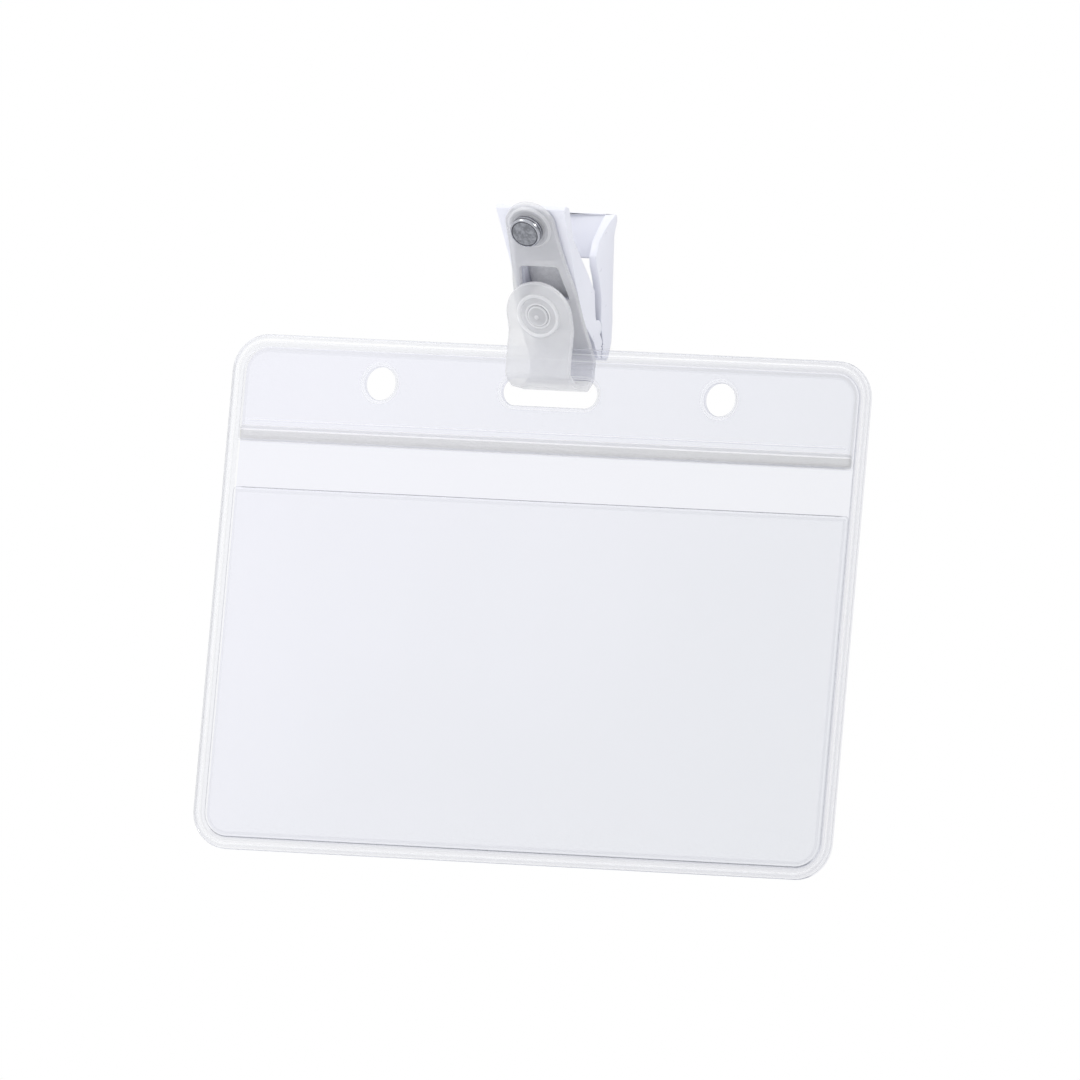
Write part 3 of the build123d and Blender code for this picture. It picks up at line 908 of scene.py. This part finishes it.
# ------------------------------------------------------------------ clip levers, moulded with soft edges
def moulded_copy(node, name, width, mat, body, segments=3):
    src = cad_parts[node]
    mesh = src.data.copy()
    bm = bmesh.new()
    bm.from_mesh(mesh)
    bmesh.ops.remove_doubles(bm, verts=bm.verts, dist=2e-6)
    bmesh.ops.dissolve_limit(bm, angle_limit=math.radians(1.2), verts=bm.verts, edges=bm.edges)
    bm.to_mesh(mesh)
    bm.free()
    mesh.name = name
    mesh.materials.clear()
    mesh.materials.append(mat)
    o = bpy.data.objects.new(name, mesh)
    scene.collection.objects.link(o)
    bev = o.modifiers.new("soft_edges", "BEVEL")
    bev.width = width
    bev.segments = segments
    bev.limit_method = "ANGLE"
    bev.angle_limit = math.radians(28)
    bev.use_clamp_overlap = True
    dg = bpy.context.evaluated_depsgraph_get()
    made = bpy.data.meshes.new_from_object(o.evaluated_get(dg), preserve_all_data_layers=True, depsgraph=dg)
    o.modifiers.clear()
    o.data = made
    bm = bmesh.new()
    bm.from_mesh(made)
    bmesh.ops.triangulate(bm, faces=[f_ for f_ in bm.faces if len(f_.verts) > 4])
    bm.to_mesh(made)
    bm.free()
    for name_ in ("custom_normal",):
        a = made.attributes.get(name_)
        if a:
            made.attributes.remove(a)
    made.polygons.foreach_set("use_smooth", [True] * len(made.polygons))
    made.set_sharp_from_angle(angle=math.radians(40))
    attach(o, body)
    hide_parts(node)
    return o


front = moulded_copy("front_lever", "clip_front_lever", 0.00022, WHITE, "clip_front")
rear = moulded_copy("rear_lever", "clip_rear_lever", 0.00022, WHITE, "clip_rear")

# ------------------------------------------------------------------ spring
spring_route, spring_dist, spring_bends = rounded([(4.2, 12.2), (0.35, 7.7), (-1.9, 4.9), (-4.9, 4.9), (-6.22, 7.4), (-5.8, 9.6)], 1.5)


def spring_place(u, v, h):
    total_s = float(spring_dist[-1])

    def p(d):
        return np.array([np.interp(d, spring_dist, spring_route[:, 0]), np.interp(d, spring_dist, spring_route[:, 1])])

    t = p(min(total_s, v + 0.1)) - p(max(0.0, v - 0.1))
    t /= np.linalg.norm(t)
    q = p(v) + h * np.array([-t[1], t[0]])
    return (u, -q[0] - GF, q[1] + GZ)


sp_len = float(spring_dist[-1])
sp_box = corner_rect(-1.0, 1.0, 0.0, sp_len, (0.3,) * 4, step=0.25, arc=5)
S_NARROW = next(float(d) for d, q in zip(spring_dist, spring_route) if q[0] < -0.9)


def sp_half(v):
    """Half width of the strip: wide on its front arm, narrow from the bend on."""
    k = min(1.0, max(0.0, (v - S_NARROW + 0.5) / 0.5))
    return 3.6 - 1.3 * k


def sp_out(d):
    out = []
    for u, v in sp_box(d):
        sign = 1.0 if u > 0 else -1.0
        out.append((sign * abs(u) / (1.0 - d) * (sp_half(v) - d), v))
    return out


spring = plate(
    "clip_bent_spring", sp_out, [(0.06, -0.2, 0), (0.0, -0.14, 0), (0.0, 0.14, 0), (0.06, 0.2, 0), (0.2, 0.2, 0)], [],
    0.2, None, -0.2, np.array([(x, s) for s in np.arange(0.4, sp_len - 0.3, 0.25) for x in np.arange(-3.0, 3.1, 0.6) if abs(x) < sp_half(s) - 0.4]), [SPRING], spring_place,
)
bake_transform(spring)
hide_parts("clip_spring")
